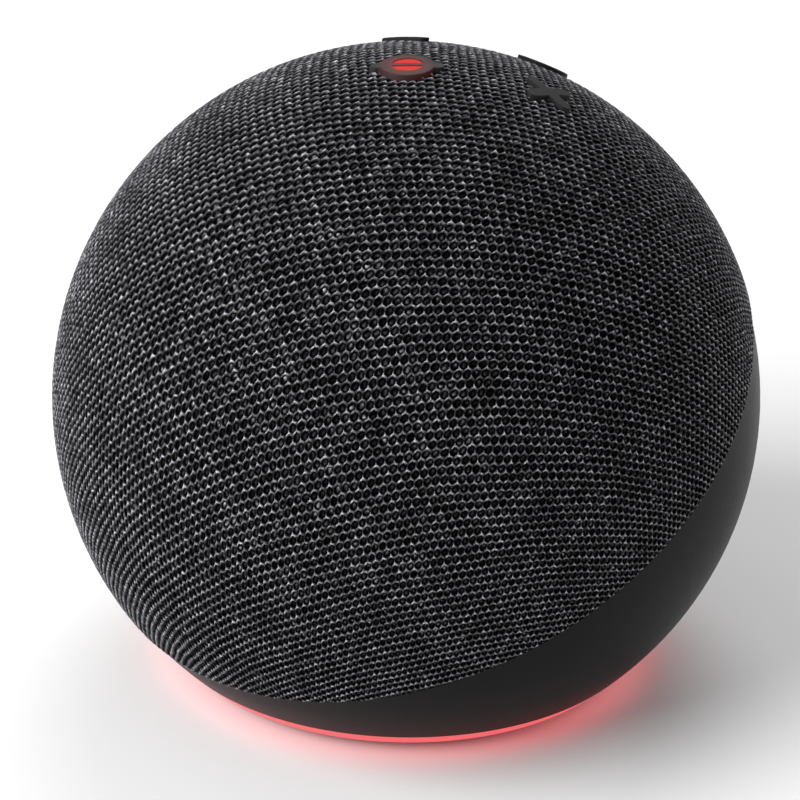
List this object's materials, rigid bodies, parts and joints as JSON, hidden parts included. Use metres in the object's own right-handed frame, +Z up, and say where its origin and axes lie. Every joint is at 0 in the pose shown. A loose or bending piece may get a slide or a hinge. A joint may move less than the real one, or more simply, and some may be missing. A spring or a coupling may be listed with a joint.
{
  "type": "smart home hub",
  "caption": "Ball-shaped smart home hub: knitted grille over a loudspeaker, press buttons on top, a lit ring around the base and power and audio sockets behind.",
  "frame": {"origin": "centre of the foot's resting face", "axes": "+Z up; -Y is the fabric front that the loudspeaker faces; +Y is the back with the sockets; +X is the hub's right as seen from the front"},
  "size_m": [0.1, 0.0995, 0.0895],
  "materials": {
    "knit_fabric": "open honeycomb knit",
    "dome_plastic": "matte",
    "housing_plastic": "matte, fine texture",
    "ring_diffuser": "translucent, lit red",
    "lit_lens": "translucent, lit red",
    "button_rubber": "soft-touch",
    "foot_rubber": "matte",
    "black_plastic": "moulded",
    "grey_plastic": "moulded",
    "board_laminate": "solder mask",
    "steel": "zinc-plated",
    "shield_steel": "tin-plated",
    "magnet_ferrite": "sintered",
    "aluminium": "brushed",
    "coil_wire": "enamelled winding",
    "cone_paper": "coated paper",
    "soft_rubber": "moulded rubber",
    "spider_cloth": "resin-treated cloth",
    "thermal_silicone": "soft",
    "led_package": "moulded",
    "copper_film": "polyimide film",
    "cable_jacket": "insulated",
    "contact_metal": "plated"
  },
  "bodies": {
    "hub": {"fabric_cover": "knit_fabric", "grille_dome": "dome_plastic", "rear_housing": "housing_plastic", "light_ring": "ring_diffuser", "base_plate": "black_plastic", "foot_pad": "foot_rubber", "button_carrier": "grey_plastic", "top_board": "board_laminate", "tact_switches": "steel", "switch_domes": "black_plastic", "microphones": "contact_metal", "mic_gaskets": "soft_rubber", "mute_leds": "led_package", "deck_screws": "steel", "speaker_chamber": "black_plastic", "driver_gasket": "soft_rubber", "driver_basket": "grey_plastic", "driver_pole": "steel", "driver_magnet": "magnet_ferrite", "driver_top_plate": "steel", "driver_surround": "soft_rubber", "driver_spider": "spider_cloth", "driver_screws": "steel", "chamber_screws": "steel", "main_board": "board_laminate", "processor_shield": "shield_steel", "radio_shield": "shield_steel", "thermal_pad": "thermal_silicone", "heat_spreader": "aluminium", "amplifier_chips": "black_plastic", "capacitors": "aluminium", "power_jack": "black_plastic", "power_jack_pin": "contact_metal", "audio_jack": "black_plastic", "board_screws": "steel", "led_board": "board_laminate", "ring_leds": "led_package", "base_screws": "steel", "wifi_antennas": "copper_film", "cable_connectors": "led_package", "top_flex_cable": "copper_film", "speaker_leads": "cable_jacket"},
    "volume_up": {"volume_up_button": "button_rubber"},
    "volume_down": {"volume_down_button": "button_rubber"},
    "mute": {"mute_button": "button_rubber", "mute_lens": "lit_lens"},
    "action": {"action_button": "button_rubber"},
    "cone": {"voice_coil": "coil_wire", "driver_cone": "cone_paper", "dust_cap": "cone_paper"}
  },
  "joints": [
    {"name": "volume_up_press", "type": "slide", "parent": "hub", "child": "volume_up", "axis": [0, -0.2554, -0.9668], "range_m": [0, 0.0005], "stiffness_N_per_m": 2000},
    {"name": "volume_down_press", "type": "slide", "parent": "hub", "child": "volume_down", "axis": [0, -0.2554, -0.9668], "range_m": [0, 0.0005], "stiffness_N_per_m": 2000},
    {"name": "mute_press", "type": "slide", "parent": "hub", "child": "mute", "axis": [0, -0.2554, -0.9668], "range_m": [0, 0.0005], "stiffness_N_per_m": 2000},
    {"name": "action_press", "type": "slide", "parent": "hub", "child": "action", "axis": [0, -0.2554, -0.9668], "range_m": [0, 0.0005], "stiffness_N_per_m": 2000},
    {"name": "cone_stroke", "type": "slide", "parent": "hub", "child": "cone", "axis": [0, -0.9397, 0.342], "range_m": [-0.0015, 0.0015], "stiffness_N_per_m": 1200, "deforming": ["driver_surround", "driver_spider"]}
  ]
}
